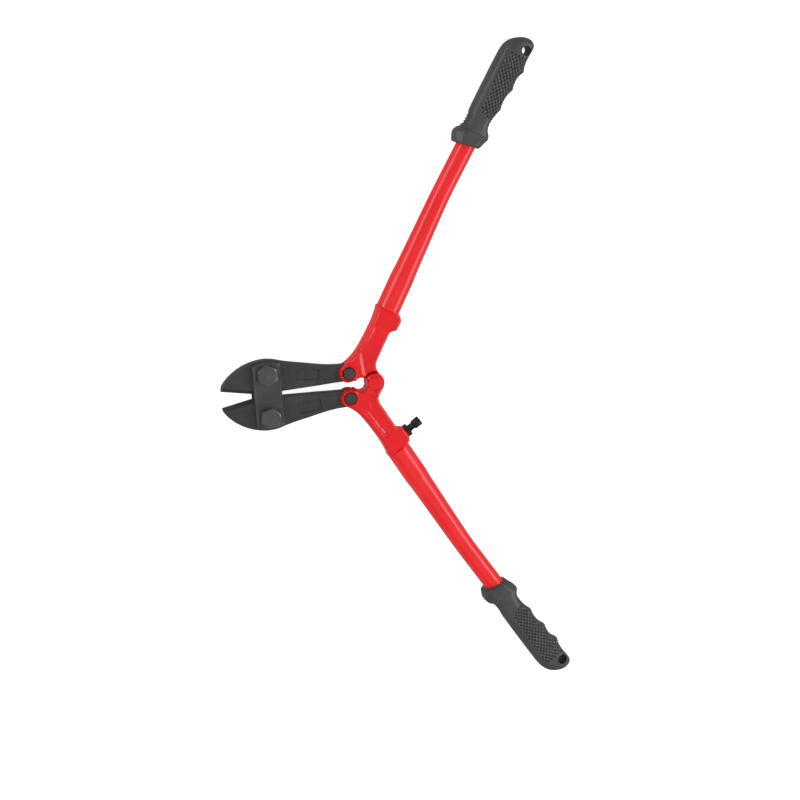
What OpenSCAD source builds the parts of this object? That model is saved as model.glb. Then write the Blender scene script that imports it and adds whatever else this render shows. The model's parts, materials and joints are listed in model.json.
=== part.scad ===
// Bolt cutters, 18 inch class, lying flat with the jaws half open and the handles spread.
// Units are millimetres. X runs from the jaws to the grips, Y across the two handles, Z up.

/* [Cutter head] */
// Distance between the two jaw bolts
bolt_spacing = 37; // [34:0.5:42]
// Thickness of the forged jaws
jaw_thickness = 9.5; // [8:0.5:12]
// Thickness of each strap plate
strap_thickness = 4; // [3:0.5:5]
// Diameter of the jaw bolts
bolt_diameter = 10; // [8:0.5:11]
// Width of the bolt heads across the flats
hex_across_flats = 16; // [14:0.5:17]

/* [Linkage] */
// How far each jaw turns between the shown pose and closed, in degrees
jaw_opening = 10.6; // [9:0.1:12]
// Distance from the centre pivot to each link pin
link_radius = 24.6; // [24.5:0.1:26]
// Angle of each link pin above the tool axis, in degrees
link_angle = 26.3; // [24:0.05:28]
// Distance from a jaw bolt to its link pin
jaw_arm = 71.6; // [68:0.1:74]
// Thickness of the forged yokes
yoke_thickness = 19; // [17:0.5:20]

/* [Handles] */
// Outside diameter of the handle tube where it leaves the yoke
tube_start = 20.6; // [18:0.2:22]
// Outside diameter of the handle tube in front of the grip
tube_end = 16.8; // [16:0.2:18]
// Thickness of the moulded grips
grip_thickness = 23; // [20:0.5:26]
// Diameter of the hanging holes
hang_hole = 8.4; // [7:0.2:9]

/* [Hidden] */
$fn = 64;
eps = 0.01;
run_gap = 0.05;      // radial gap of every turning fit
face_gap = 0.1;      // gap between flat faces that slide on each other
half_space = bolt_spacing / 2;
jaw_half = jaw_thickness / 2;
yoke_half = yoke_thickness / 2;
pin_diameter = 10;
centre_diameter = 11;
lobe_radius = 9.6;
cheek_radius = 8.1;
tail_radius = 7.6;

// linkage points, measured from the centre pivot
link = [-link_radius * cos(link_angle), link_radius * sin(link_angle)];
bolt_x = link[0] - sqrt(pow(jaw_arm, 2) - pow(half_space - link[1], 2));
bolt = [bolt_x, half_space];
arm_rest = asin((link[1] - half_space) / jaw_arm);
arm_closed = arm_rest + jaw_opening;
link_closed_y = half_space + jaw_arm * sin(arm_closed);
handle_swing = asin(link_closed_y / link_radius) - link_angle;

// stack heights above the middle plane
strap_low = jaw_half + face_gap;
strap_high = strap_low + strap_thickness;
head_height = 6.4;
washer_height = 2.2;
nut_height = 6;
bolt_tail = 1;
stack_down = strap_high + washer_height + nut_height + bolt_tail;

// edge of the jaws: a straight line that lies on the tool axis when the jaws are closed
edge_gap = 0.1;
edge_length = 36.2;
land = 1.2;
grind_angle = 51;
edge_turn = [sin(jaw_opening), cos(jaw_opening)];
edge_foot = [bolt[0] - (half_space - edge_gap) * edge_turn[0], bolt[1] - (half_space - edge_gap) * edge_turn[1]];
jaw_tip = [edge_foot[0] - edge_length * edge_turn[1], edge_foot[1] + edge_length * edge_turn[0]];

// stop screw on the lugs
lug_in = [23.0, 42.6];
lug_width = 8.9;
lug_angle = 57;
lug_normal = lug_angle - 90;
lug_out = lug_in + lug_width * [cos(lug_angle), sin(lug_angle)];
lug_mid = lug_in + 5.2 * [cos(lug_angle), sin(lug_angle)];
stop_diameter = 6;
stop_head = 8.2;
// the head just clears the other lug when the handles are closed, where the lugs stand at a slight angle
lug_face_y = lug_mid[1] * cos(handle_swing) - lug_mid[0] * sin(handle_swing);
lug_lean = lug_angle - handle_swing;
stop_reach = 2 * lug_face_y * cos(lug_lean) / cos(2 * lug_lean) - stop_head / 2 * tan(2 * lug_lean) - 0.1;
stop_head_height = 7.6;
locknut_height = 3.8;
stop_depth = 14;

// handle centre lines
tube_angle = 60.3;
tube_in = [18.6, 62.6];
tube_edge = tube_in + tube_start / 2 * [-sin(59), cos(59)];
tube_foot = tube_in - (tube_start / 2 - 1) * [-sin(59), cos(59)];
taper_length = 105;
bend_angle = 57.7;
bend = tube_in + taper_length * [cos(tube_angle), sin(tube_angle)];
straight_length = 96;
tube_wall = 2;
shank_length = 26;
shank_diameter = tube_start - 2 * tube_wall - 1.4;

grip_crown = 17.4;
grip_x = 161.6;
frame_x = -(jaw_tip[0] + grip_x) / 2;

echo("bolt", bolt, "link", link, "swing", handle_swing, "reach", stop_reach, "down", stack_down);
echo("frame_x", frame_x, "lug_mid", lug_mid, "lug_normal", lug_normal, "jaw_tip", jaw_tip, "bend", bend);

// moves a piece from the pivot frame to the shared frame
module place() {
    translate([frame_x, 0, stack_down]) children();
}

// the lower half of the tool is the mirror image of the upper half
module lower() {
    mirror([0, 1, 0]) children();
}

module disc(d, low, high) {
    translate([0, 0, low]) cylinder(d = d, h = high - low);
}

module hex(af, low, high) {
    translate([0, 0, low]) cylinder(d = af / cos(30), h = high - low, $fn = 6);
}

// ---------------------------------------------------------------- jaws

// outline of the upper jaw, measured from the centre pivot
module jaw_outline() {
    polygon([jaw_tip, [-130.0, 12.0], [-125.7, 17.0], [-120.4, 21.4], [-114.2, 25.2], [-107.9, 27.9],
        [-101.2, 29.6], [-94.8, 30.5], [-89.4, 30.3], [-84.4, 29.4], [-79.2, 27.7], [-39.6, 19.5],
        [link[0], link[1] + tail_radius], [link[0], link[1] - tail_radius], [-26.2, 3.9], [-78.4, 2.3],
        [-90, 1.4], edge_foot]);
}

// cutter that grinds one side of the edge
module edge_grind() {
    translate([edge_foot[0], edge_foot[1], land / 2]) rotate([0, 0, -jaw_opening])
        rotate([grind_angle, 0, 0]) translate([-40, -10, 0]) cube([42, 20, 10]);
}

// upper jaw; slot is the free travel of the bolt towards the tool axis
module jaw(slot) {
    difference() {
        union() {
            translate([0, 0, -jaw_half]) linear_extrude(jaw_thickness) jaw_outline();
            translate([link[0], link[1], 0]) disc(2 * tail_radius, -jaw_half, jaw_half);
        }
        translate([bolt[0], bolt[1], 0]) {
            disc(bolt_diameter + 2 * run_gap, -20, 20);
            if (slot > 0) {
                disc(bolt_diameter + 1.4, -20, 20);
                translate([0, -slot, 0]) disc(bolt_diameter + 1.4, -20, 20);
                translate([-bolt_diameter / 2 - 0.7, -slot, -20]) cube([bolt_diameter + 1.4, slot, 40]);
            }
        }
        translate([link[0], link[1], 0]) disc(pin_diameter + 2 * run_gap, -20, 20);
        edge_grind();
        mirror([0, 0, 1]) edge_grind();
        // plain stamped panel behind the strap
        translate([bolt[0] + 33, 15.4, jaw_half - 0.3]) rotate([0, 0, -7])
            translate([-9, -4.8, 0]) cube([18, 9.6, 1]);
    }
}

module upper_jaw() { color("#3f3f41") place() jaw(4.6); }
module lower_jaw() { color("#3f3f41") place() lower() jaw(0); }

// ---------------------------------------------------------------- straps and jaw bolts

module strap_plate() {
    half_width = 11.9;
    end_radius = 29;
    end_y = half_space + 10.6;
    intersection() {
        translate([-half_width, -end_y - 5, 0]) cube([2 * half_width, 2 * end_y + 10, strap_thickness]);
        translate([0, end_y - end_radius, 0]) cylinder(r = end_radius, h = strap_thickness, $fn = 128);
        translate([0, end_radius - end_y, 0]) cylinder(r = end_radius, h = strap_thickness, $fn = 128);
        translate([0, 0, strap_thickness - 1.2]) rotate([0, 45, 0]) translate([-15, -40, -15])
            cube([30.0 - 15 + half_width / sqrt(2), 80, 15 + half_width / sqrt(2)]);
    }
}

module strap() {
    difference() {
        translate([0.5, 0, 0]) strap_plate();
        for (side = [-1, 1]) translate([0, side * half_space, 0])
            disc(bolt_diameter + 0.4, -1, strap_thickness + 1);
    }
}

module front_strap() {
    color("#4b4b4d") place() translate([bolt[0], 0, strap_low]) strap();
}

module rear_strap() {
    color("#4b4b4d") place() translate([bolt[0], 0, -strap_low]) mirror([0, 0, 1]) strap();
}

// hexagon with a chamfered top, standing on z = 0
module hex_head(af, height, turn) {
    rotate([0, 0, turn]) intersection() {
        hex(af, 0, height);
        cylinder(d1 = af / cos(30) + 2 * height / tan(30), d2 = af - 0.8, h = height);
    }
}

module jaw_bolt(turn) {
    disc(bolt_diameter, -stack_down, strap_high);
    translate([0, 0, strap_high]) hex_head(hex_across_flats, head_height, turn);
}

module jaw_nut(turn) {
    difference() {
        translate([0, 0, -stack_down + bolt_tail + nut_height]) mirror([0, 0, 1])
            hex_head(hex_across_flats, nut_height, turn);
        disc(bolt_diameter + 0.2, -40, 0);
    }
}

module spring_washer() {
    difference() {
        disc(17, -strap_high - washer_height, -strap_high);
        disc(bolt_diameter + 0.5, -40, 0);
        rotate([0, 0, 35]) translate([0, -0.6, -40]) cube([12, 1.2, 40]);
    }
}

module at_bolt(side) {
    place() translate([bolt[0], side * bolt[1], 0]) children();
}

module upper_jaw_bolt() { color("#545456") at_bolt(1) jaw_bolt(32); }
module lower_jaw_bolt() { color("#545456") at_bolt(-1) jaw_bolt(18); }
module upper_jaw_nut() { color("#545456") at_bolt(1) jaw_nut(8); }
module lower_jaw_nut() { color("#545456") at_bolt(-1) jaw_nut(40); }
module upper_spring_washer() { color("#8a8a8c") at_bolt(1) spring_washer(); }
module lower_spring_washer() { color("#8a8a8c") at_bolt(-1) spring_washer(); }

// ---------------------------------------------------------------- yokes

module yoke_outline() {
    polygon([
        [-25.6, 15.9], [-20.6, 19.8], [-15.6, 24.0], [-11.4, 29.0], [-7.6, 34.4], [-2.4, 42.6],
        [3.8, 52.8], [8.0, 61.4], tube_edge, tube_foot, [27.0, 55.4], [27.7, 52.6],
        lug_out, lug_in, [20.4, 42.8], [17.0, 41.0],
        [9.2, 27.6], [3.2, 16.4], [3.0, 13.0], [4.6, 9.4], [2, 3], [0, 0.6], [-5.7, 0.6], [-6.8, 3.2],
        [-9.2, 4.7], [-11.8, 4.8], [-14.4, 4.0], [-15.8, 3.4], [-21.9, 5.0], [-27, 8]]);
}

// lap 1 keeps the lower half of the centre lobe, lap -1 keeps the upper half
module yoke(lap) {
    difference() {
        union() {
            difference() {
                translate([0, 0, -yoke_half]) linear_extrude(yoke_thickness) yoke_outline();
                // the other yoke's lobe turns here
                disc(2 * lobe_radius + 0.8, -yoke_half - 1, yoke_half + 1);
            }
            translate([link[0], link[1], 0]) disc(2 * cheek_radius, -yoke_half, yoke_half);
            // centre lobe, half as thick as the yoke
            translate([0, 0, lap > 0 ? -yoke_half : face_gap / 2]) linear_extrude(yoke_half - face_gap / 2)
                union() {
                    circle(r = lobe_radius);
                    intersection() {
                        yoke_outline();
                        circle(r = lobe_radius + 2);
                    }
                }
            // round shank that the tube is driven onto
            translate([tube_in[0], tube_in[1], 0]) rotate([0, 0, tube_angle]) rotate([0, 90, 0])
                translate([0, 0, -6]) cylinder(d = shank_diameter, h = shank_length + 6);
        }
        // slot for the jaw tail
        translate([link[0], link[1], 0]) {
            disc(2 * tail_radius + 1.4, -jaw_half - face_gap, jaw_half + face_gap);
            rotate([0, 0, 165]) translate([0, -1, -jaw_half - face_gap])
                cube([30, 9, jaw_thickness + 2 * face_gap]);
            rotate([0, 0, 180]) translate([0, 0, -jaw_half - face_gap])
                cube([30, 26, jaw_thickness + 2 * face_gap]);
            disc(pin_diameter + 0.02, -20, 20);
        }
        disc(centre_diameter + (lap > 0 ? 2 * run_gap : 0.02), -20, 20);
        // recessed web on both faces
        for (turn = [0, 1]) mirror([0, 0, turn]) translate([0, 0, yoke_half - 2]) linear_extrude(5)
            polygon([[-9.6, 28.4], [-4.0, 26.0], [2.6, 24.6], [8.2, 34.0], [14.2, 44.6], [17.0, 52.0],
                [12.0, 57.0], [8.0, 55.8], [3.0, 47.0], [-2.2, 38.6]]);
    }
}

// hole and flat for the stop screw
module at_lug() {
    translate([lug_mid[0], lug_mid[1], 0]) rotate([0, 0, lug_normal]) rotate([0, 90, 0]) children();
}

module upper_yoke() {
    color("#d8262c") place() yoke(1);
}

module lower_yoke() {
    color("#d8262c") place() lower() difference() {
        yoke(-1);
        at_lug() disc(stop_diameter + 2 * run_gap, -stop_depth, 5);
    }
}

module link_pin() {
    translate([link[0], link[1], 0]) disc(pin_diameter, -yoke_half + 0.1, yoke_half - 0.1);
}

module upper_link_pin() { color("#4a3c3c") place() link_pin(); }
module lower_link_pin() { color("#4a3c3c") place() lower() link_pin(); }
module centre_pin() { color("#c8242a") place() disc(centre_diameter, -yoke_half, yoke_half + 0.2); }

// ---------------------------------------------------------------- stop screw

module stop_bolt() {
    color("#4f4f51") place() lower() at_lug() {
        disc(stop_diameter, -stop_depth + 2.5, stop_reach - 4);
        translate([0, 0, stop_reach - stop_head_height]) cylinder(d1 = stop_head - 2, d2 = stop_head, h = 1);
        disc(stop_head, stop_reach - stop_head_height + 1, stop_reach);
    }
}

module stop_locknut() {
    color("#5a5a5c") place() lower() at_lug() difference() {
        hex_head(10, locknut_height, 0);
        disc(stop_diameter + 2 * run_gap, -1, 8);
    }
}

// ---------------------------------------------------------------- tubes and grips

module along(point, angle) {
    translate([point[0], point[1], 0]) rotate([0, 0, angle]) rotate([0, 90, 0]) children();
}

// keeps what lies on one side of the mitre plane at the bend
module mitre(far) {
    difference() {
        children();
        translate([bend[0], bend[1], 0]) rotate([0, 0, (tube_angle + bend_angle) / 2])
            translate([far ? -60 : 0, -20, -20]) cube([60, 40, 40]);
    }
}

module tube() {
    tube_bore = tube_end - 2 * tube_wall;
    mitre(false) along(tube_in, tube_angle) difference() {
        union() {
            cylinder(d1 = tube_start, d2 = tube_end, h = taper_length - 5);
            translate([0, 0, taper_length - 5]) cylinder(d = tube_end, h = 8);
        }
        translate([0, 0, -1]) cylinder(d = shank_diameter + 0.1, h = shank_length + 2);
        translate([0, 0, shank_length]) cylinder(d = tube_bore, h = taper_length);
    }
    mitre(true) along(bend, bend_angle) difference() {
        translate([0, 0, -3]) cylinder(d = tube_end, h = straight_length + 3);
        translate([0, 0, -4]) cylinder(d = tube_bore, h = straight_length + 5);
    }
}

module upper_tube() { color("#dc282e") place() tube(); }
module lower_tube() { color("#dc282e") place() lower() tube(); }

module grip_outline() {
    polygon([
        [86.0, 198.0], [86.6, 206.6], [89.8, 210.2], [94.2, 212.8], [98.0, 217.0], [102.3, 225.2],
        [132.5, 273.3], [137.0, 277.8], [143.5, 280.6], [150.8, 281.2], [157.4, 279.4], [160.8, 275.8],
        [grip_x, 272.6], [158.4, 267.2], [153.0, 259.4], [150.4, 251.0], [144.4, 246.0], [139.6, 236.8],
        [132.8, 230.9], [127.8, 221.2], [122.3, 215.8], [117.2, 208.9], [115.6, 204.0], [115.4, 199.6],
        [105.4, 190.6]]);
}

module grip() {
    axis_angle = 57;
    difference() {
        intersection() {
            translate([0, 0, -grip_thickness / 2]) linear_extrude(grip_thickness) grip_outline();
            for (side = [-1, 1]) translate([103.5, 203.6, side * (grip_crown - grip_thickness / 2)])
                rotate([0, 0, axis_angle]) rotate([0, 90, 0]) translate([0, 0, -40])
                    cylinder(r = grip_crown, h = 160, $fn = 96);
        }
        along(bend, bend_angle) cylinder(d = tube_end, h = straight_length);
        translate([152.0, 269.7, 0]) disc(hang_hole, -20, 20);
    }
}

module upper_grip() { color("#39393b") place() grip(); }
module lower_grip() { color("#39393b") place() lower() grip(); }

upper_jaw();
lower_jaw();
front_strap();
rear_strap();
upper_jaw_bolt();
lower_jaw_bolt();
upper_jaw_nut();
lower_jaw_nut();
upper_spring_washer();
lower_spring_washer();
upper_link_pin();
lower_link_pin();
centre_pin();
upper_yoke();
lower_yoke();
stop_bolt();
stop_locknut();
upper_tube();
lower_tube();
upper_grip();
lower_grip();
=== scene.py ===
"""Bolt cutters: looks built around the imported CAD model."""
import json
import math

import bmesh
import bpy
import numpy as np
from mathutils import Matrix, Vector
from mathutils.geometry import delaunay_2d_cdt
from mathutils.noise import noise as soft_noise


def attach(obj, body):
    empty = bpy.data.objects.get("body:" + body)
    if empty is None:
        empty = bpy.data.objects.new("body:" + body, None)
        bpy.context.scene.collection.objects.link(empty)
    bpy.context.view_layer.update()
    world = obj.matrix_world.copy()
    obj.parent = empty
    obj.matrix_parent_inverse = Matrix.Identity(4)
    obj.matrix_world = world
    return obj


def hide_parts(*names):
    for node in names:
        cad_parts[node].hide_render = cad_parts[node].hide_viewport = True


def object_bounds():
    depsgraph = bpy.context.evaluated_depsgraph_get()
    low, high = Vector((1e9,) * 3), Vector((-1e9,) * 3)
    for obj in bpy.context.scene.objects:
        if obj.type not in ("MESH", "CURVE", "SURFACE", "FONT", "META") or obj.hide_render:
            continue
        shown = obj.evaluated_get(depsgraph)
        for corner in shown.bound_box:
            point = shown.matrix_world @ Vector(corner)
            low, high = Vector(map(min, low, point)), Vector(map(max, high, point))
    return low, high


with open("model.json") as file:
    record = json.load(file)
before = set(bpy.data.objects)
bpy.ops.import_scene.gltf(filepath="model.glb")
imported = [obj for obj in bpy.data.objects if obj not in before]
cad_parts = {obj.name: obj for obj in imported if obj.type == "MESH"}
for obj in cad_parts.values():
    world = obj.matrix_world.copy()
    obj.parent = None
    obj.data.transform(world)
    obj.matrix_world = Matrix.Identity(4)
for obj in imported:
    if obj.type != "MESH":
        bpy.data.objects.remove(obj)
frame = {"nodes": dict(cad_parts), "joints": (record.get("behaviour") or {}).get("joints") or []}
cad_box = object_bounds()

# ---------------------------------------------------------------- places, in millimetres from the centre pivot

joints = {j["name"]: j for j in frame["joints"]}
pivot = Vector(joints["centre_pivot"]["pos_m"])


def joint_xy(name):
    p = Vector(joints[name]["pos_m"]) - pivot
    return np.array([p.x, p.y]) * 1000


# link pin and jaw bolt of the upper half; the lower half is its mirror image
LINK = joint_xy("upper_link")
BOLT = joint_xy("strap_pivot") * [1, -1]
jaw_turn = math.radians(joints["strap_pivot"]["range_deg"][1] - 0.5)

# half thicknesses of the jaws and yokes, and the strap plate's near face and thickness
JAW_HALF = 4.75
YOKE_HALF = 9.5
STRAP_LOW = 4.85
STRAP_T = 4.0

# cutting edge of the upper jaw, from its foot under the strap to the tip
EDGE_LENGTH = 36.2
EDGE_FOOT = BOLT - (BOLT[1] - 0.1) * np.array([math.sin(jaw_turn), math.cos(jaw_turn)])
TIP = EDGE_FOOT + EDGE_LENGTH * np.array([-math.cos(jaw_turn), math.sin(jaw_turn)])


def unit(deg):
    """Unit vector at an angle in degrees."""
    return np.array([math.cos(math.radians(deg)), math.sin(math.radians(deg))])


def ease(x):
    """Smooth step from 0 to 1."""
    x = np.clip(x, 0.0, 1.0)
    return x * x * (3 - 2 * x)


# ---------------------------------------------------------------- outlines


def spline(points, step):
    """Dense curve through the points; a point with a third value is a corner, where the curve may turn sharply."""
    closed = points[0][:2] == points[-1][:2]
    runs, run = [], [points[0][:2]]
    for p in points[1:]:
        run.append(p[:2])
        if len(p) == 3:
            runs.append(run)
            run = [p[:2]]
    if len(run) > 1:
        runs.append(run)
    out = []
    for run in runs:
        p = np.array(run, float)
        loop = closed and len(runs) == 1
        if loop:
            p = np.vstack([p[-2], p, p[1]])
        else:
            p = np.vstack([2 * p[0] - p[1], p, 2 * p[-1] - p[-2]])
        for a, b, c, d in zip(p[:-3], p[1:-2], p[2:-1], p[3:]):
            t0 = 0.0
            t1 = t0 + max(np.linalg.norm(b - a), 1e-6) ** 0.5
            t2 = t1 + max(np.linalg.norm(c - b), 1e-6) ** 0.5
            t3 = t2 + max(np.linalg.norm(d - c), 1e-6) ** 0.5
            n = max(1, int(math.ceil(np.linalg.norm(c - b) / step)))
            for t in np.linspace(t1, t2, n, endpoint=False):
                a1 = (t1 - t) / (t1 - t0) * a + (t - t0) / (t1 - t0) * b
                a2 = (t2 - t) / (t2 - t1) * b + (t - t1) / (t2 - t1) * c
                a3 = (t3 - t) / (t3 - t2) * c + (t - t2) / (t3 - t2) * d
                b1 = (t2 - t) / (t2 - t0) * a1 + (t - t0) / (t2 - t0) * a2
                b2 = (t3 - t) / (t3 - t1) * a2 + (t - t1) / (t3 - t1) * a3
                out.append((t2 - t) / (t2 - t1) * b1 + (t - t1) / (t2 - t1) * b2)
    if not closed:
        out.append(np.array(points[-1][:2], float))
    return np.array(out)


def arc(centre, r, a0, a1, step=0.6):
    """Points on a circle from angle a0 to a1, in degrees."""
    n = max(3, int(abs(a1 - a0) * math.pi / 180 * r / step))
    return [tuple(np.array(centre) + r * unit(a)) for a in np.linspace(a0, a1, n)]


def offset_line(line, shift):
    """Open polyline moved sideways and cut into short steps."""
    line = spline([tuple(p) for p in line], 0.8)
    tangent = np.gradient(line, axis=0)
    tangent /= np.linalg.norm(tangent, axis=1)[:, None]
    moved = line + shift * np.stack([-tangent[:, 1], tangent[:, 0]], 1)
    return moved[2:-2]


def circle(centre, r, n=40):
    """Closed loop of n points."""
    return np.array([np.array(centre) + r * unit(360 * k / n) for k in range(n)])


def gap(points, loop, closed=True):
    """Distance from each point to a polyline."""
    a = np.asarray(loop, float)
    b = np.roll(a, -1, 0) if closed else a[1:]
    if not closed:
        a = a[:-1]
    best = np.full(len(points), 1e9)
    ab = b - a
    len2 = np.maximum((ab**2).sum(1), 1e-12)
    for k in range(0, len(points), 2000):
        p = points[k : k + 2000, None, :]
        t = np.clip(((p - a) * ab).sum(2) / len2, 0, 1)
        q = a + t[..., None] * ab
        best[k : k + 2000] = np.sqrt(((p - q) ** 2).sum(2)).min(1)
    return best


def inside(points, loop):
    """True for each point inside a closed loop."""
    x, y = points[:, 0], points[:, 1]
    hit = np.zeros(len(points), bool)
    for (x0, y0), (x1, y1) in zip(loop, np.roll(loop, -1, 0)):
        cross = (y0 > y) != (y1 > y)
        hit ^= cross & (x < (x1 - x0) * (y - y0) / ((y1 - y0) or 1e-12) + x0)
    return hit


def signed_gap(points, loop):
    """Distance to a closed loop, positive inside."""
    return np.where(inside(points, np.asarray(loop)), 1, -1) * gap(points, loop)


# ---------------------------------------------------------------- mesh builders


def new_object(name, verts, faces, material, sharp=32.0, attributes=None):
    """Smooth-shaded object with edges above the sharp angle kept crisp."""
    mesh = bpy.data.meshes.new(name)
    mesh.from_pydata([tuple(v) for v in verts], [], [tuple(int(i) for i in f) for f in faces])
    for key, values in (attributes or {}).items():
        mesh.attributes.new(key, "FLOAT", "POINT").data.foreach_set("value", np.array(values, dtype=np.float32))
    mesh.validate()
    bm = bmesh.new()
    bm.from_mesh(mesh)
    bmesh.ops.remove_doubles(bm, verts=bm.verts, dist=1e-6)
    bmesh.ops.recalc_face_normals(bm, faces=bm.faces)
    bm.to_mesh(mesh)
    bm.free()
    mesh.shade_smooth()
    mesh.set_sharp_from_angle(angle=math.radians(sharp))
    mesh.materials.append(material)
    obj = bpy.data.objects.new(name, mesh)
    bpy.context.scene.collection.objects.link(obj)
    return obj


def relief(name, outline, holes, top, bottom, material, grid, rings, lines=(), mirror_y=False, flip_z=False):
    """Plate with a shaped top and bottom.

    top and bottom give the height at each point from (points, depth inside the edge). The mesh follows the
    rings inside each edge and the lines, with a lattice of the grid's spacing between them.
    """
    loops = [np.asarray(outline)] + [np.asarray(h) for h in holes]
    coords, edges = [], []
    for loop in loops:
        first = len(coords)
        coords += [tuple(p) for p in loop]
        edges += [(first + k, first + (k + 1) % len(loop)) for k in range(len(loop))]
    border = len(coords)
    area = loops[0]
    low, high = area.min(0), area.max(0)
    xs = np.arange(low[0], high[0] + grid, grid)
    ys = np.arange(low[1], high[1] + grid, grid * 0.866)
    lattice = np.array([(x + (grid / 2 if j % 2 else 0), y) for j, y in enumerate(ys) for x in xs])
    depth = gap(lattice, area)
    for h in loops[1:]:
        depth = np.minimum(depth, gap(lattice, h))
    keep = inside(lattice, area) & (depth > rings[-1] + grid * 0.45)
    for line in lines:
        keep &= gap(lattice, line, closed=False) > grid * 0.4
    extra = [lattice[keep]]
    for loop in loops:
        tangent = np.roll(loop, -1, 0) - np.roll(loop, 1, 0)
        tangent /= np.maximum(np.linalg.norm(tangent, axis=1)[:, None], 1e-9)
        normal = np.stack([-tangent[:, 1], tangent[:, 0]], 1)
        for k, r in enumerate(rings):
            ring = loop + normal * r
            if not inside(ring[:1], area)[0] or (loop is not area and inside(ring[:1], loop)[0]):
                ring = loop - normal * r
            skip = 1 if r < 1.0 else 2
            ring = ring[(k % 2) :: skip]
            d = gap(ring, area)
            for h in loops[1:]:
                d = np.minimum(d, gap(ring, h))
            ok = inside(ring, area) & (d > r * 0.93)
            for line in lines:
                ok &= gap(ring, line, closed=False) > 0.25
            extra.append(ring[ok])
    for line in lines:
        line = np.asarray(line)
        ok = inside(line, area) & (gap(line, area) > 0.05)
        line = line[ok]
        first = border + sum(len(e) for e in extra)
        extra.append(line)
        edges += [(first + k, first + k + 1) for k in range(len(line) - 1)]
    coords += [tuple(p) for e in extra for p in e]
    flat, _, tris, orig, _, _ = delaunay_2d_cdt([Vector(c) for c in coords], edges, [], 0, 1e-5)
    flat = np.array([(v.x, v.y) for v in flat])
    tris = np.array([t for t in tris if len(t) == 3])
    mid = flat[tris].mean(1)
    ok = inside(mid, area)
    for h in loops[1:]:
        ok &= ~inside(mid, h)
    tris = tris[ok]
    depth = gap(flat, area)
    for h in loops[1:]:
        depth = np.minimum(depth, gap(flat, h))
    z_top = top(flat, depth)
    z_low = bottom(flat, depth)
    n = len(flat)
    verts = np.vstack([np.column_stack([flat, z_top]), np.column_stack([flat, z_low])])
    faces = [tuple(t) for t in tris] + [(t[2] + n, t[1] + n, t[0] + n) for t in tris]
    count = {}
    for t in tris:
        for a, b in ((t[0], t[1]), (t[1], t[2]), (t[2], t[0])):
            count[(a, b)] = count.get((a, b), 0) + 1
    for a, b in count:
        if (b, a) not in count:
            faces.append((b, a, a + n, b + n))
    if mirror_y:
        verts[:, 1] *= -1
    if flip_z:
        verts[:, 2] *= -1
    verts = verts / 1000 + np.array(pivot)
    return new_object(name, verts, faces, material)


def rounded(height, r, depth):
    """Height of a face whose edge is rounded with radius r."""
    d = np.clip(depth, 0, r)
    return height - r + np.sqrt(np.maximum(r * r - (r - d) ** 2, 0))


def join(objects, name):
    """One object out of several."""
    bpy.ops.object.select_all(action="DESELECT")
    for o in objects:
        o.select_set(True)
    bpy.context.view_layer.objects.active = objects[0]
    bpy.ops.object.join()
    objects[0].name = name
    return objects[0]


def cut(obj, cutter):
    """Takes the cutter out of the object, for good."""
    mod = obj.modifiers.new("cut", "BOOLEAN")
    mod.operation = "DIFFERENCE"
    mod.solver = "EXACT"
    mod.object = cutter
    bpy.context.view_layer.objects.active = obj
    bpy.ops.object.select_all(action="DESELECT")
    obj.select_set(True)
    bpy.ops.object.modifier_apply(modifier=mod.name)
    bpy.data.objects.remove(cutter, do_unlink=True)


def prism(name, loop, low, high, mirror_y=False):
    """Plain cutter with a polygon outline along Z."""
    loop = np.asarray(loop, float)
    if mirror_y:
        loop = loop * [1, -1]
    n = len(loop)
    verts = np.array([(x, y, z) for z in (low, high) for x, y in loop]) / 1000 + np.array(pivot)
    faces = [tuple(range(n)), tuple(range(n, 2 * n))]
    faces += [(k, (k + 1) % n, n + (k + 1) % n, n + k) for k in range(n)]
    mesh = bpy.data.meshes.new(name)
    mesh.from_pydata([tuple(v) for v in verts], [], faces)
    bm = bmesh.new()
    bm.from_mesh(mesh)
    bmesh.ops.recalc_face_normals(bm, faces=bm.faces)
    bm.to_mesh(mesh)
    bm.free()
    obj = bpy.data.objects.new(name, mesh)
    bpy.context.scene.collection.objects.link(obj)
    return obj


def declare(obj, node, body):
    """The object stands for a CAD node, whose part is hidden, and rides on a body."""
    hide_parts(node)
    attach(obj, body)


# ---------------------------------------------------------------- materials


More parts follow.
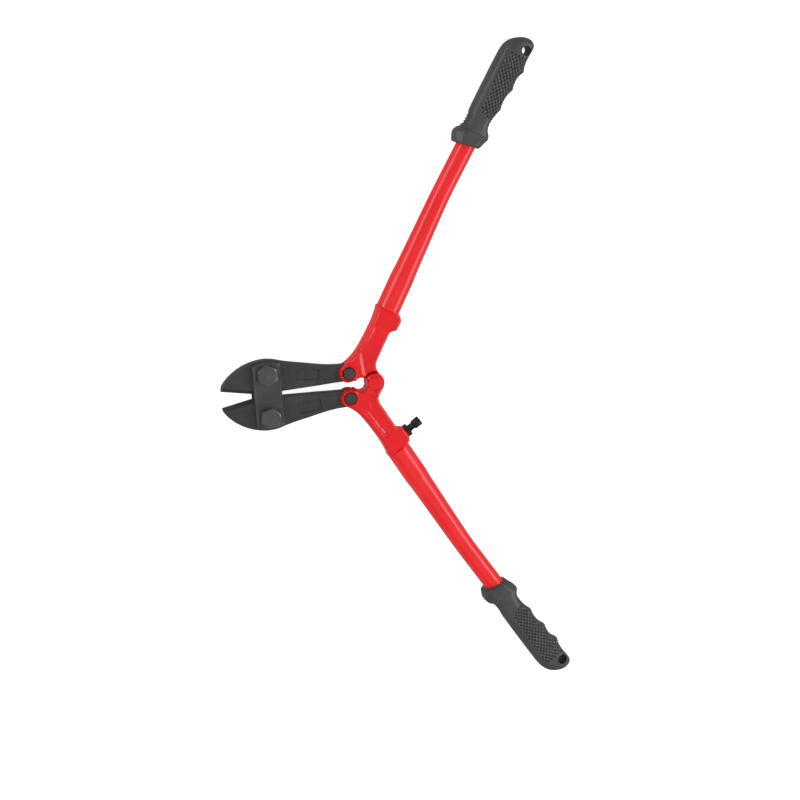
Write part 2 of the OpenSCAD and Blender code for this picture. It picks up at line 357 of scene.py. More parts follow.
class Nodes:
    """Small helper for building a node material."""

    def __init__(self, name):
        self.material = bpy.data.materials.new(name)
        self.material.use_nodes = True
        self.tree = self.material.node_tree
        self.tree.nodes.clear()
        self.out = self.add("ShaderNodeOutputMaterial")
        self.shader = self.add("ShaderNodeBsdfPrincipled")
        self.link(self.shader.outputs["BSDF"], self.out.inputs["Surface"])
        self.coords = self.add("ShaderNodeTexCoord").outputs["Object"]

    def add(self, kind, **settings):
        node = self.tree.nodes.new(kind)
        for key, value in settings.items():
            setattr(node, key, value)
        return node

    def link(self, a, b):
        self.tree.links.new(a, b)

    def noise(self, scale, detail, rough=0.55):
        node = self.add("ShaderNodeTexNoise")
        node.inputs["Scale"].default_value = scale
        node.inputs["Detail"].default_value = detail
        node.inputs["Roughness"].default_value = rough
        self.link(self.coords, node.inputs["Vector"])
        return node.outputs["Fac"]

    def ramp(self, source, low, high, a, b):
        """Maps source from low..high to a..b."""
        node = self.add("ShaderNodeMapRange")
        for key, value in zip(("From Min", "From Max", "To Min", "To Max"), (low, high, a, b)):
            node.inputs[key].default_value = value
        self.link(source, node.inputs["Value"])
        return node.outputs["Result"]

    def mix(self, factor, a, b):
        """Colour between a and b; each is a colour or a socket."""
        node = self.add("ShaderNodeMix", data_type="RGBA")
        self.link(factor, node.inputs["Factor"])
        for key, value in (("A", a), ("B", b)):
            socket = [s for s in node.inputs if s.name == key and s.type == "RGBA"][0]
            if isinstance(value, tuple):
                socket.default_value = (*value, 1.0)
            else:
                self.link(value, socket)
        return [s for s in node.outputs if s.type == "RGBA"][0]

    def bump(self, *layers):
        """Stacks bump layers of (height socket, strength, distance in metres)."""
        normal = None
        for source, strength, distance in layers:
            node = self.add("ShaderNodeBump")
            node.inputs["Strength"].default_value = strength
            node.inputs["Distance"].default_value = distance
            self.link(source, node.inputs["Height"])
            if normal:
                self.link(normal, node.inputs["Normal"])
            normal = node.outputs["Normal"]
        self.link(normal, self.shader.inputs["Normal"])

    def set(self, **values):
        """Sets the shader's own sockets; an underscore stands for a space."""
        for key, value in values.items():
            self.shader.inputs[key.replace("_", " ")].default_value = value


def steel(name, base, rough, metal, grain, scale_marks):
    """Blackened steel with a cloudy tone, fine grain and larger handling marks."""
    m = Nodes(name)
    cloud = m.noise(70, 5, 0.6)
    fine = m.noise(2600, 3, 0.6)
    marks = m.noise(scale_marks, 6, 0.7)
    dark = tuple(c * 0.82 for c in base)
    light = tuple(c * 1.22 for c in base)
    m.link(m.mix(m.ramp(cloud, 0.3, 0.7, 0, 1), dark, light), m.shader.inputs["Base Color"])
    m.set(Metallic=metal, IOR=1.5)
    m.link(m.ramp(marks, 0.3, 0.7, rough - 0.06, rough + 0.07), m.shader.inputs["Roughness"])
    m.bump((fine, grain, 0.00004), (marks, grain * 0.6, 0.00006))
    return m.material


def red_paint(name, wavy, green, red):
    """Glossy enamel with orange peel; wavy is the strength of the dents of forged steel under it."""
    m = Nodes(name)
    cloud = m.noise(38, 4, 0.55)
    peel = m.noise(420, 2, 0.4)
    dust = m.noise(2400, 2, 0.5)
    dents = m.noise(310, 3, 0.5)
    deep, bright = (red, green, green + 0.004), (red * 1.08, green * 1.25, green * 1.25 + 0.005)
    m.link(m.mix(m.ramp(cloud, 0.35, 0.65, 0, 1), deep, bright), m.shader.inputs["Base Color"])
    m.set(Metallic=0.0, IOR=1.5, Specular_IOR_Level=0.40, Coat_Weight=0.3, Coat_Roughness=0.12)
    m.link(m.ramp(cloud, 0.3, 0.7, 0.30, 0.36), m.shader.inputs["Roughness"])
    m.bump((peel, 0.10, 0.00012), (dust, 0.05, 0.00003), (dents, wavy, 0.0004))
    return m.material


def grip_plastic(name):
    """Moulded plastic, with painted shade in the pits of the hatch and a painted highlight on its ridges."""
    m = Nodes(name)
    cloud = m.noise(55, 4, 0.55)
    fine = m.noise(3200, 3, 0.6)
    base = m.mix(m.ramp(cloud, 0.3, 0.7, 0, 1), (0.040, 0.040, 0.041), (0.052, 0.052, 0.053))
    hatch_shading = m.add("ShaderNodeAttribute", attribute_name="hatch_shading").outputs["Fac"]
    # painted shade: the pits of the hatch are coloured darker
    base = m.mix(m.ramp(hatch_shading, 0.5, 0.0, 0, 1), base, (0.012, 0.012, 0.012))
    # painted highlight: the ridges of the hatch are coloured lighter
    base = m.mix(m.ramp(hatch_shading, 0.5, 1.0, 0, 1), base, (0.105, 0.105, 0.107))
    m.link(base, m.shader.inputs["Base Color"])
    m.set(Metallic=0.0, IOR=1.52)
    m.link(m.ramp(cloud, 0.3, 0.7, 0.40, 0.48), m.shader.inputs["Roughness"])
    m.bump((fine, 0.22, 0.00005), (cloud, 0.05, 0.0002))
    return m.material


JAW = steel("jaw_steel", (0.060, 0.060, 0.062), 0.42, 0.55, 0.30, 260)
STRAP = steel("strap_steel", (0.078, 0.078, 0.080), 0.38, 0.55, 0.22, 300)
HEX = steel("bolt_steel", (0.105, 0.105, 0.107), 0.36, 0.6, 0.18, 340)
PIN = steel("pin_steel", (0.074, 0.060, 0.062), 0.40, 0.5, 0.20, 320)
SPRING = steel("spring_steel", (0.20, 0.20, 0.20), 0.35, 0.8, 0.18, 320)
BLACK = steel("black_screw", (0.016, 0.016, 0.017), 0.40, 0.3, 0.20, 320)
RED = red_paint("red_paint", 0.02, 0.010, 0.70)
RED_FORGED = red_paint("red_paint_forged", 0.16, 0.0022, 0.64)
GRIP = grip_plastic("grip_pvc")

# ---------------------------------------------------------------- jaws

TAIL_RADIUS = 7.6
PIN_HOLE = 5.05
back_edge = [
    (*TIP, 1), (-130.3, 12.0), (-126.0, 17.0), (-120.6, 21.4), (-114.3, 25.2), (-107.9, 27.9), (-101.2, 29.6),
    (-94.8, 30.4), (-89.4, 30.2), (-84.4, 29.3), (-79.2, 27.8), (-73.5, 26.3), (-60.0, 23.5), (-39.6, 19.5),
    (-30.0, 18.6), (LINK[0], LINK[1] + TAIL_RADIUS, 1),
]
front_edge = [
    (LINK[0], LINK[1] - TAIL_RADIUS, 1), (-26.2, 3.9), (-52.0, 3.1), (-78.4, 2.3, 1), (-90.0, 1.4, 1),
    (*EDGE_FOOT, 1), (*TIP, 1),
]
jaw_outline = list(map(tuple, spline(back_edge, 0.7)[:-1]))
jaw_outline += arc(LINK, TAIL_RADIUS, 90, -90, 0.7)
jaw_outline += list(map(tuple, spline(front_edge, 0.7)[1:-1]))
jaw_outline = np.array(jaw_outline)

# the cutting edge: a narrow land in the middle and a ground slope on each side, up to the crease
GRIND = math.tan(math.radians(51))
LAND = 0.6
edge_dir = (EDGE_FOOT - TIP) / np.linalg.norm(EDGE_FOOT - TIP)
edge_in = np.array([-edge_dir[1], edge_dir[0]])
crease = [TIP + edge_dir * s + edge_in * (JAW_HALF - LAND) / GRIND for s in np.arange(0.5, EDGE_LENGTH, 0.6)]

# plain recessed panel: centre, half length and half width, depth, width of its wall, directions of its sides
PANEL = np.array([-57.2, 13.9])
PANEL_HALF = (10.2, 4.6)
PANEL_DEPTH = 0.8
PANEL_WALL = 0.35
PANEL_SIDES = np.array([unit(-7), unit(83)])


def jaw_top(points, depth):
    z = rounded(JAW_HALF, 0.7, depth)
    rel = points - TIP
    along, inward = rel @ edge_dir, rel @ edge_in
    ground = LAND + np.maximum(inward, 0) * GRIND
    near = (inward < 4.2) & (along < 37)
    flat = np.where(near, JAW_HALF, z)
    z = np.where(near, np.minimum(np.where(along < 0.6, z, flat), ground), z)
    panel = np.abs((points - PANEL) @ PANEL_SIDES.T)
    inner = np.minimum(PANEL_HALF[0] - panel[:, 0], PANEL_HALF[1] - panel[:, 1])
    return z - PANEL_DEPTH * np.clip(inner / PANEL_WALL, 0, 1)


def panel_line(grow):
    """Border of the panel, moved outwards by grow."""
    w, h = PANEL_HALF[0] + grow, PANEL_HALF[1] + grow
    xs, ys = np.arange(-w, w, 0.8), np.arange(-h, h, 0.8)
    border = [(x, -h) for x in xs] + [(w, y) for y in ys] + [(-x, h) for x in xs] + [(-w, -y) for y in ys]
    return PANEL + np.array(border + border[:1]) @ PANEL_SIDES


def jaw(name, slot, mirror_y, node, body):
    """slot lengthens the bolt's hole towards the tool's axis."""
    if slot:
        hole = np.array(arc(BOLT, 5.7, 0, 180, 0.7) + arc(BOLT - [0, 4.6], 5.7, 180, 360, 0.7))
    else:
        hole = circle(BOLT, PIN_HOLE)
    obj = relief(
        name, jaw_outline, [hole, circle(LINK, PIN_HOLE)], jaw_top, lambda p, d: -jaw_top(p, d), JAW,
        grid=1.6, rings=(0.12, 0.35, 0.7), lines=[np.array(crease), panel_line(0.0), panel_line(-PANEL_WALL)],
        mirror_y=mirror_y,
    )
    declare(obj, node, body)


jaw("jaw_blade_upper", True, False, "upper_jaw", "upper_jaw")
jaw("jaw_blade_lower", False, True, "lower_jaw", "lower_jaw")

# ---------------------------------------------------------------- strap plates

# half width of the plate, radius of its ends, and how far they reach
half, end_r, end_y = 11.9, 29.0, BOLT[1] + 10.6
middle = BOLT[0] + 0.5
corner_y = end_y - end_r + math.sqrt(end_r**2 - half**2)
top_arc = [(middle + x, end_y - end_r + math.sqrt(end_r**2 - x * x)) for x in np.linspace(-half, half, 30)]
side = np.linspace(corner_y, -corner_y, 60)[1:-1]
strap_outline = top_arc + [(middle + half, y) for y in side]
strap_outline += [(x, -y) for x, y in top_arc[::-1]] + [(middle - half, -y) for y in side]
strap_outline = np.array(strap_outline)


def strap_top(points, depth):
    """Flat face with a wide, shallow bevel along the edge."""
    bevel = 1.5
    slope = STRAP_LOW + STRAP_T - np.maximum(bevel - depth, 0) * 0.85
    return np.minimum(slope, rounded(STRAP_LOW + STRAP_T, 0.3, np.maximum(depth, 0)))


for name, node, flip in (("strap_plate_front", "front_strap", False), ("strap_plate_rear", "rear_strap", True)):
    holes = [circle(BOLT, 5.2), circle(BOLT * [1, -1], 5.2)]
    obj = relief(
        name, strap_outline, holes, strap_top, lambda p, d: np.full(len(p), STRAP_LOW), STRAP,
        grid=1.6, rings=(0.3, 1.5, 1.8), flip_z=flip,
    )
    declare(obj, node, "strap")

# ---------------------------------------------------------------- yokes

# round opening between the link pins and the centre pivot, and the lobes round the pivot
BULB = np.array([-11.35, 0.0])
BULB_R = 5.7
LOBE_R = 9.0
POCKET_R = 9.5
LINK_BOSS_R = 8.1
TUBE_IN = np.array([18.6, 62.6])
TUBE_ANGLE, BEND_ANGLE = 60.3, 57.7

# face of the lug that the stop screw stands on
lug_in = np.array([23.0, 42.6])
lug_out = lug_in + 8.9 * unit(57)

left_edge = [
    (8.9, 66.6, 1), (7.0, 61.0), (3.2, 53.0), (-2.5, 43.4), (-7.9, 35.0), (-12.0, 29.4), (-16.4, 24.6), (-20.8, 20.9),
]
right_edge = [
    (3.2, 12.4), (3.4, 16.4), (9.2, 27.6), (15.4, 38.4), (17.2, 41.2), (20.2, 42.5), (*(lug_in - [0.2, 0.0]), 1),
    (*(lug_out - [0.6, 0.8]), 1), (27.7, 51.4), (27.2, 54.4), (26.2, 56.6, 1), (22.8, 60.1), (17.9, 63.2),
    (13.2, 65.2), (8.9, 66.6, 1),
]
link_arc = arc(LINK, LINK_BOSS_R, 128, 296, 0.7)


def yoke_loop(with_lobe):
    """Outline of one half of a yoke: with the lobe, or with the pocket for the other handle's lobe."""
    loop = list(map(tuple, spline(left_edge + [link_arc[0]], 0.7)[:-1])) + link_arc
    if with_lobe:
        loop += arc(BULB, BULB_R, 146, -54.4)
        loop += arc((0, 0), LOBE_R, 208.6, 395)
    else:
        loop += arc(BULB, BULB_R, 146, 59)
        loop += arc((0, 0), POCKET_R, 151, 62)
    loop += list(map(tuple, spline([loop[-1]] + right_edge, 0.7)[1:-1]))
    return np.array(loop)


def forged(height, depth):
    """Forged edge: a wide, soft rounding down to the parting line."""
    width, drop = 2.3, 4.2
    d = np.clip(depth / width, 0, 1)
    return height - drop + drop * np.sqrt(np.maximum(1 - (1 - d) ** 2, 0))


def ripple(points, size, seed):
    """Soft unevenness from -1 to 1."""
    return np.array([soft_noise(Vector((x / size, y / size, seed))) for x, y in points])


# wall beside the web, the web's area, and the groove on the other face
wall = [
    (14.0, 64.0), (4.9, 50.9), (-0.2, 43.3), (-2.9, 38.9), (-9.1, 30.9), (-11.2, 28.7), (-10.3, 21.0), (-9.1, 11.0),
    (-8.4, 5.0),
]
web = np.array(wall + [(0.0, -8.0), (30.0, 0.0), (60.0, 40.0), (40.0, 70.0)])
WALL_HALF = 1.75
TUBE_MOUTH = np.array([11.0, 46.5])
groove = np.array([(-9.8, 24.0), (-3.8, 33.5), (5.0, 46.3)])
GROOVE_ALONG = (groove[2] - groove[0]) / np.linalg.norm(groove[2] - groove[0])
GROOVE_IN = np.array([GROOVE_ALONG[1], -GROOVE_ALONG[0]])
GROOVE_ENDS = np.array([(-11.2, 22.6), (6.6, 48.0)])
# heights across the groove, from the outer edge inwards: a trough, a bead and the step down to the web
GROOVE_ACROSS = ([-WALL_HALF, -0.3, 0.3, 0.6, 0.85, 2.3, 3.2], [0.0, -0.55, -0.55, -0.1, -0.1, -0.6, -0.6])
PIT = np.array([6.9, 46.0])


def yoke_base(points, depth):
    """Forged face with a lip round the link pin and a slightly lower surface beyond it."""
    boss = np.linalg.norm(points - LINK, axis=1)
    centre = np.linalg.norm(points, axis=1)
    low = 0.8 * np.clip((boss - 5.6) / 1.8, 0, 1) * ease((centre - 10.0) / 2.5)
    lip = 0.45 * np.clip(1 - np.abs(boss - 6.1) / 0.75, 0, 1) * ease((centre - 12.0) / 2.5)
    z = forged(YOKE_HALF, depth) - low + lip
    return z + 0.10 * ease(depth / 2.5) * ease((boss - 7) / 2) * ripple(points, 3.2, 1.0)


def web_face(points, depth):
    """Face with the deep web: a rim along the outer edge that turns in front of the link pin."""
    z = yoke_base(points, depth)
    along = (points - TUBE_MOUTH) @ unit(60)
    fade = 1 - ease((along + 4.0) / 9.0)
    right = signed_gap(points, web)
    step = 1.3 * np.clip((right + WALL_HALF) / (2 * WALL_HALF), 0, 1) * fade
    return z - step - 0.12 * fade * ease((right - 2) / 2) * ripple(points, 2.4, 7.0)


def groove_face(points, depth):
    """Face with a narrow groove near the outer edge, which ends in a pit."""
    z = yoke_base(points, depth)
    along = (points - TUBE_MOUTH) @ unit(60)
    right = signed_gap(points, web)
    fade = (1 - ease((along + 6.0) / 8.0)) * ease((right - 3.0) / 4.0)
    fade = fade * ease((np.linalg.norm(points - LINK, axis=1) - 12) / 6)
    fade = fade * ease((np.linalg.norm(points, axis=1) - 12) / 6)
    z = z - 0.7 * fade - 0.08 * fade * ripple(points, 2.4, 3.0)
    line = gap(points, groove, closed=False)
    side = np.where(((points - groove[1]) @ GROOVE_IN) > 0, line, -line)
    profile = np.interp(side, *GROOVE_ACROSS)
    from_ends = np.minimum((points - GROOVE_ENDS[0]) @ GROOVE_ALONG, (GROOVE_ENDS[1] - points) @ GROOVE_ALONG)
    z = z + profile * ease(from_ends / 1.2) * (1 - ease((side - 2.4) / 1.5))
    pit = np.linalg.norm(points - PIT, axis=1)
    return z - 0.9 * (1 - ease((pit - 0.4) / 1.8))


def flat_low(points, depth):
    """Parting plane; the lobe stands clear of the other handle's lobe."""
    return 0.06 * ease((9.6 - np.linalg.norm(points, axis=1)) / 0.8)


def yoke(name, mirror_y, node, body):
    """The half with the lobe faces up on the lower handle and down on the upper handle."""
    parts = []
    for with_lobe in (True, False):
        up = with_lobe == mirror_y
        holes = [circle(LINK, 5.01), circle((0, 0), 4.55)] if with_lobe else [circle(LINK, 5.01)]
        feature, face = (groove, groove_face) if with_lobe else (np.array(wall), web_face)
        parts.append(relief(
            name + str(with_lobe), yoke_loop(with_lobe), holes, face, flat_low, RED_FORGED,
            grid=1.0, rings=(0.12, 0.35, 0.7, 1.15, 1.7, 2.4),
            lines=[offset_line(feature, shift) for shift in (-WALL_HALF, 0.0, WALL_HALF)],
            mirror_y=mirror_y, flip_z=not up,
        ))
    # slot for the jaw's tail
    slot = arc(LINK, 8.8, 20, -120, 0.8) + [(-60.0, -16.0), (-60.0, 21.0), (-29.0, 21.0)] + arc(LINK, 8.3, 112, 60, 0.8)
    for part in parts:
        cut(part, prism("slot_cutter", slot, -JAW_HALF - 0.1, JAW_HALF + 0.1, mirror_y=mirror_y))
        part.data.set_sharp_from_angle(angle=math.radians(34))
    declare(join(parts, name), node, body)


def centre_rivet():
    """Turned pin with a low dome on both ends."""
    profile = [(0, 9.95), (1.6, 9.91), (3.2, 9.81), (4.6, 9.67), (5.6, 9.54), (5.75, 9.46), (4.5, 9.3), (4.5, 0)]
    profile += [(r, -z) for r, z in profile[-2::-1]]
    n = 64
    turns = [2 * math.pi * k / n for k in range(n)]
    verts = [(r * math.cos(a), r * math.sin(a), z) for r, z in profile for a in turns]
    faces = [
        (i * n + k, i * n + (k + 1) % n, (i + 1) * n + (k + 1) % n, (i + 1) * n + k)
        for i in range(len(profile) - 1) for k in range(n)
    ]
    obj = new_object("centre_rivet", np.array(verts) / 1000 + np.array(pivot), faces, RED_FORGED, 60)
    declare(obj, "centre_pin", "lower_handle")


centre_rivet()
yoke("forged_yoke_upper", False, "upper_yoke", "upper_handle")
yoke("forged_yoke_lower", True, "lower_yoke", "lower_handle")

# ---------------------------------------------------------------- tubes


def tube_point(s):
    """Centre line of the tube, a gentle bend between two straights; s in millimetres from its mouth."""
    bend_at, blend = 105.0, 18.0
    if s < 0:
        return TUBE_IN + s * unit(TUBE_ANGLE), unit(TUBE_ANGLE)
    steps = np.linspace(0, s, 160)
    angle = TUBE_ANGLE + (BEND_ANGLE - TUBE_ANGLE) * ease((steps - bend_at + blend) / (2 * blend))
    d = np.stack([np.cos(np.radians(angle)), np.sin(np.radians(angle))], 1)
    p = TUBE_IN + np.vstack([[0, 0], np.cumsum((d[1:] + d[:-1]) / 2 * (s / 159), 0)])[-1]
    return p, d[-1]


def tube_radius(s):
    return np.interp(s, [-3, 0, 28, 36, 60, 85, 110, 135, 300], [10.3, 10.3, 10.3, 9.75, 9.25, 8.75, 8.4, 8.4, 8.4])


def tube(name, mirror_y, node, body):
    n = 72
    # rounded lip at the yoke, then the plain tube
    stations = [(-1.4, -1.9), (-2.0, -1.6), (-2.0, -0.35), (-1.88, -0.1), (-1.6, 0.0)]
    stations += [(s, 0.0) for s in np.arange(-1.0, 198, 2.0)]
    verts, faces = [], []
    for s, inset in stations:
        p, d = tube_point(s)
        side = np.array([d[1], -d[0]])
        r = float(tube_radius(s)) + inset
        for k in range(n):
            a = 2 * math.pi * k / n
            q = p + side * r * math.cos(a)
            verts.append((q[0], q[1] * (-1 if mirror_y else 1), r * math.sin(a)))
    for i in range(len(stations) - 1):
        for k in range(n):
            faces.append((i * n + k, i * n + (k + 1) % n, (i + 1) * n + (k + 1) % n, (i + 1) * n + k))
    faces.append(tuple(range(n)))
    faces.append(tuple(range((len(stations) - 1) * n, len(stations) * n)))
    obj = new_object(name, np.array(verts) / 1000 + np.array(pivot), faces, RED, 40)
    declare(obj, node, body)


tube("handle_tube_upper", False, "upper_tube", "upper_handle")
tube("handle_tube_lower", True, "lower_tube", "lower_handle")

# ---------------------------------------------------------------- grips

# start of the grip, directions along and across it, and its hanging hole
GRIP_AT = np.array([95.0, 194.0])
GRIP_U, GRIP_V = unit(57.5), unit(57.5 - 90)
HANG_HOLE = np.array([152.0, 269.7])
HANG_HOLE_R = 4.2
HATCH_PITCH = 3.5
HATCH_SLANT = 0.80
RIB_PITCH = 2.83

# palm side and finger side, along and across the grip
palm = spline([
    (-1.5, -9.7, 1), (-1.2, -10.6), (2.2, -12.6), (5.2, -13.9), (8.4, -14.1, 1), (11.2, -12.7), (13.8, -11.1),
    (18.4, -10.1), (23.0, -9.9), (30.2, -10.5), (45.0, -10.9), (65.0, -11.1), (80.0, -11.2), (87.0, -11.0),
    (91.4, -10.2), (95.4, -8.5), (99.1, -5.6), (101.7, -2.3), (103.9, 1.2), (105.1, 5.0), (105.3, 6.6),
], 0.25)
finger = spline([
    (2.7, 10.0, 1), (3.1, 10.9), (8.8, 13.0), (14.2, 14.9), (16.4, 14.6), (18.0, 13.2), (20.0, 11.6), (24.5, 10.5),
    (30.0, 10.7), (36.0, 11.6), (40.6, 13.1, 1), (44.4, 12.2), (50.4, 11.9), (56.0, 12.9), (60.1, 14.6, 1),
    (64.2, 13.6), (69.8, 13.2), (74.6, 14.4), (77.8, 16.1, 1), (81.6, 14.6), (86.3, 13.8), (92.0, 13.7), (97.0, 14.0),
    (100.4, 13.9), (103.0, 12.6), (104.6, 10.4), (105.2, 8.0), (105.3, 6.6),
], 0.25)
# half thickness along the grip
THICKNESS = (
    [0, 0.8, 1.6, 12.2, 12.8, 13.4, 17, 21, 28, 45, 70, 90, 96],
    [11.4, 12.0, 12.4, 12.4, 11.4, 10.7, 10.1, 9.9, 10.2, 10.9, 11.2, 11.2, 11.0],
)


def patch_weight(u, v, right):
    """1 inside the hatched patch of the grip's flat sides."""
    left_border = -4.4 - 3.0 * (u - 33) / 50
    across = np.minimum(v - left_border, right - 2.2 - v)
    return ease(np.minimum(across, np.minimum(u - 29.0 + 0.35 * (v - 4), 88.5 - u + 0.10 * v)) / 0.8)


def grip_rows():
    """Stations along the grip, closer together where the hatch and the round end need it."""
    rows = [np.arange(0.8, 30.5, 0.5), np.arange(30.5, 89, 0.5), np.arange(89, 100, 0.7)]
    rows.append([100 + 5.28 * math.sin(a) for a in np.linspace(0.02, math.pi / 2, 16)])
    return np.concatenate(rows)


def grip_skin(rows, c, s):
    """Points of the grip's skin and, for each, the value that sets the hatch's painted shade and painted highlight, one
    ring for each row.
    """
    fade = 1 - ease(rows / 22.0)
    u_left = rows - 1.5 * fade
    u_right = rows + 2.7 * fade
    v_left = np.interp(u_left, palm[:, 0], palm[:, 1])
    v_right = np.interp(u_right, finger[:, 0], finger[:, 1])
    nose = np.clip((rows - 94.0) / 11.6, 0, 1)
    thick = np.interp(rows, *THICKNESS) * np.sqrt(np.maximum(1 - nose**2.4, 0))
    collar = 1 - ease((rows - 12.2) / 1.2)

    # cross-sections: a soft rounded rectangle for the body, an octagon for the collar
    soft, crisp = 2.9, 44.0
    r_body = (np.abs(c) ** soft + np.abs(s) ** soft) ** (-1 / soft)
    corner = (np.abs(c) + np.abs(s)) / 1.55
    r_collar = (np.abs(c) ** crisp + np.abs(s) ** crisp + corner**crisp) ** (-1 / crisp)
    side_face = ease((np.abs(s) - 0.28) / 0.2)

    verts, hatch_shading = [], []
    for i in range(len(rows)):
        r = r_body * (1 - collar[i]) + r_collar * collar[i]
        t = (r * c + 1) / 2
        u = u_left[i] + (u_right[i] - u_left[i]) * t
        v = v_left[i] + (v_right[i] - v_left[i]) * t
        z = r * s * thick[i]
        # cross-hatched pits on both flat sides
        w = patch_weight(u, v, v_right[i]) * side_face
        strokes = [(u * HATCH_SLANT + v) / HATCH_PITCH, (u * HATCH_SLANT - v) / HATCH_PITCH]
        ridge = np.maximum(*[np.exp(-(((a % 1) - 0.5) / 0.20) ** 2) for a in strokes])
        z = z - np.sign(z) * w * (1.2 * (1 - ridge) - 0.12)
        # value for the painted shade in the pits and the painted highlight on the ridges
        hatch_shading += list(0.5 + w * (ridge - 0.55) * 0.9)
        # small ribs where the thumb and the first finger rest
        wave = 0.5 + 0.5 * np.cos(2 * math.pi * (u - 17.4) / RIB_PITCH)
        v = v + ease((u - 15.5) / 1.5) * ease((29 - u) / 1.5) * 1.2 * wave * np.clip(-c, 0, 1) ** 1.5
        v = v - ease((u - 20.5) / 1.5) * ease((33 - u) / 1.5) * 0.6 * wave * np.clip(c, 0, 1) ** 1.5
        xy = GRIP_AT + u[:, None] * GRIP_U + v[:, None] * GRIP_V
        verts += [(q[0], q[1], h) for q, h in zip(xy, z)]
    return verts, hatch_shading


def grip_mouth(first, c, s):
    """Rings from the collar's edge inwards: rounded lip, flat ring and a short bore round the tube."""
    mid = np.mean(np.array(first), 0)
    rings = []
    for grow, push in ((0.975, -0.55), (0.90, -0.8)):
        rings.append([tuple(mid + (np.array(p) - mid) * grow + np.array([*(GRIP_U * push), 0])) for p in first])
    tube_at, _ = tube_point(148.0)
    shift = (tube_at - mid[:2]) @ GRIP_V
    lean = 4.2 / 20.3
    for r, push in ((8.5, -0.7), (8.42, 5.0)):
        ring = []
        for x, z in zip(r * c, r * s):
            q = mid[:2] + GRIP_V * (x + shift) + GRIP_U * (push + lean * x)
            ring.append((q[0], q[1], z))
        rings.append(ring)
    return rings


def grip(name, mirror_y, node, body):
    rows = grip_rows()
    m = 168
    phi = np.linspace(0, 2 * math.pi, m, endpoint=False)
    # closer together on the flat sides
    phi = phi - 0.144 * np.sin(2 * phi)
    c, s = np.cos(phi), np.sin(phi)
    verts, hatch_shading = grip_skin(rows, c, s)
    n = len(rows)
    faces = [
        (i * m + k, i * m + (k + 1) % m, (i + 1) * m + (k + 1) % m, (i + 1) * m + k)
        for i in range(n - 1) for k in range(m)
    ]
    previous = 0
    for ring in grip_mouth(verts[:m], c, s):
        start = len(verts)
        verts += ring
        faces += [(previous + (k + 1) % m, previous + k, start + k, start + (k + 1) % m) for k in range(m)]
        previous = start
    faces.append(tuple((n - 1) * m + k for k in range(m)))
    verts = np.array(verts)
    if mirror_y:
        verts[:, 1] *= -1
    hatch_shading = np.clip(hatch_shading + [0.5] * (len(verts) - len(hatch_shading)), 0, 1)
    # this attribute carries the hatch's painted shade and highlight to the grip's material
    obj = new_object(name, verts / 1000 + np.array(pivot), faces, GRIP, 36, {"hatch_shading": hatch_shading})
    cut(obj, prism("hole_cutter", circle(HANG_HOLE, HANG_HOLE_R, 48), -20, 20, mirror_y))
    obj.data.set_sharp_from_angle(angle=math.radians(36))
    declare(obj, node, body)


grip("moulded_grip_upper", False, "upper_grip", "upper_handle")
grip("moulded_grip_lower", True, "lower_grip", "lower_handle")

# ---------------------------------------------------------------- CAD pieces that stay

looks = {
    HEX: ["upper_jaw_bolt", "lower_jaw_bolt", "upper_jaw_nut", "lower_jaw_nut"],
    BLACK: ["stop_bolt", "stop_locknut"],
    PIN: ["upper_link_pin", "lower_link_pin"],
    SPRING: ["upper_spring_washer", "lower_spring_washer"],
}
for material, names in looks.items():
    for name in names:
        obj = frame["nodes"][name]
        obj.data.materials.clear()
        obj.data.materials.append(material)
        weld = obj.modifiers.new("weld", "WELD")
        weld.merge_threshold = 1e-6
        bevel = obj.modifiers.new("bevel", "BEVEL")
        bevel.width = 0.00025
        bevel.segments = 2
        bevel.limit_method = "ANGLE"
        bevel.angle_limit = math.radians(24)
        bevel.harden_normals = True

# ---------------------------------------------------------------- stage, light and camera

FLOOR_HALF = 60
floor_z = cad_box[0][2]
corners = [(-FLOOR_HALF, -FLOOR_HALF), (FLOOR_HALF, -FLOOR_HALF), (FLOOR_HALF, FLOOR_HALF), (-FLOOR_HALF, FLOOR_HALF)]
mesh = bpy.data.meshes.new("floor")
mesh.from_pydata([(x, y, floor_z) for x, y in corners], [], [(0, 1, 2, 3)])
floor = bpy.data.objects.new("floor", mesh)
bpy.context.scene.collection.objects.link(floor)
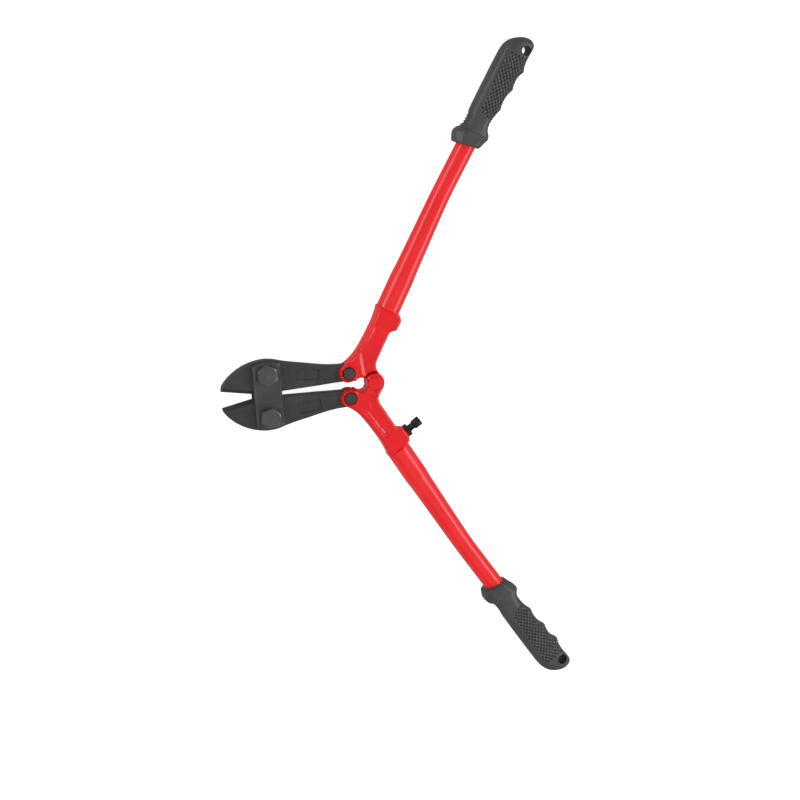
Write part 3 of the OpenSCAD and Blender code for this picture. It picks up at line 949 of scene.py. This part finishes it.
# pale paper that glows a little, so that it comes out white
m = Nodes("floor_paper")
tone = m.mix(m.ramp(m.noise(3, 2), 0.3, 0.7, 0, 1), (0.45, 0.45, 0.45), (0.47, 0.47, 0.47))
m.link(tone, m.shader.inputs["Base Color"])
m.set(Roughness=0.9, Specular_IOR_Level=0.0, Emission_Color=(1, 1, 1, 1), Emission_Strength=0.88)
floor.data.materials.append(m.material)
floor.visible_glossy = False

world = bpy.data.worlds.new("studio")
world.use_nodes = True
world.node_tree.nodes["Background"].inputs["Color"].default_value = (1, 1, 1, 1)
world.node_tree.nodes["Background"].inputs["Strength"].default_value = 0.25
bpy.context.scene.world = world
bpy.context.scene.view_settings.view_transform = "Standard"


def softbox(name, azimuth, elevation, distance, size, radiance, glossy=True):
    """Rectangular light that faces the pivot; angles in degrees, size up its slope and along it in metres."""
    light = bpy.data.lights.new(name, "AREA")
    light.shape = "RECTANGLE"
    light.size, light.size_y = size
    light.energy = radiance * math.pi * size[0] * size[1]
    obj = bpy.data.objects.new(name, light)
    bpy.context.scene.collection.objects.link(obj)
    a, e = math.radians(azimuth), math.radians(elevation)
    away = Vector((math.cos(e) * math.cos(a), math.cos(e) * math.sin(a), math.sin(e)))
    obj.location = pivot + away * distance
    side = Vector((-math.sin(a), math.cos(a), 0))
    obj.matrix_world = Matrix.Translation(obj.location) @ Matrix((away.cross(side), side, away)).transposed().to_4x4()
    obj.visible_glossy = glossy


softbox("right_softbox", 0, 37, 1.6, (0.55, 2.6), 4.2)
softbox("left_softbox", 152, 20, 1.6, (0.6, 1.8), 3.4)
softbox("overhead_fill", 235, 68, 2.4, (2.4, 2.4), 2.1, glossy=False)

camera = bpy.data.cameras.new("camera")
camera.sensor_width = 36
camera.lens = 108.1
camera.clip_start = 0.05
cam = bpy.data.objects.new("camera", camera)
bpy.context.scene.collection.objects.link(cam)
# directions of the picture's right and down
right = Vector((0.9656, -0.0702, 0.2503))
down = Vector((-0.1191, -0.9753, 0.1858))
ahead = right.cross(down)
basis = Matrix((right, -down, -ahead)).transposed()
cam.matrix_world = Matrix.Translation(pivot + Vector((-0.4553, 0.4141, 1.9663))) @ basis.to_4x4()
bpy.context.scene.camera = cam
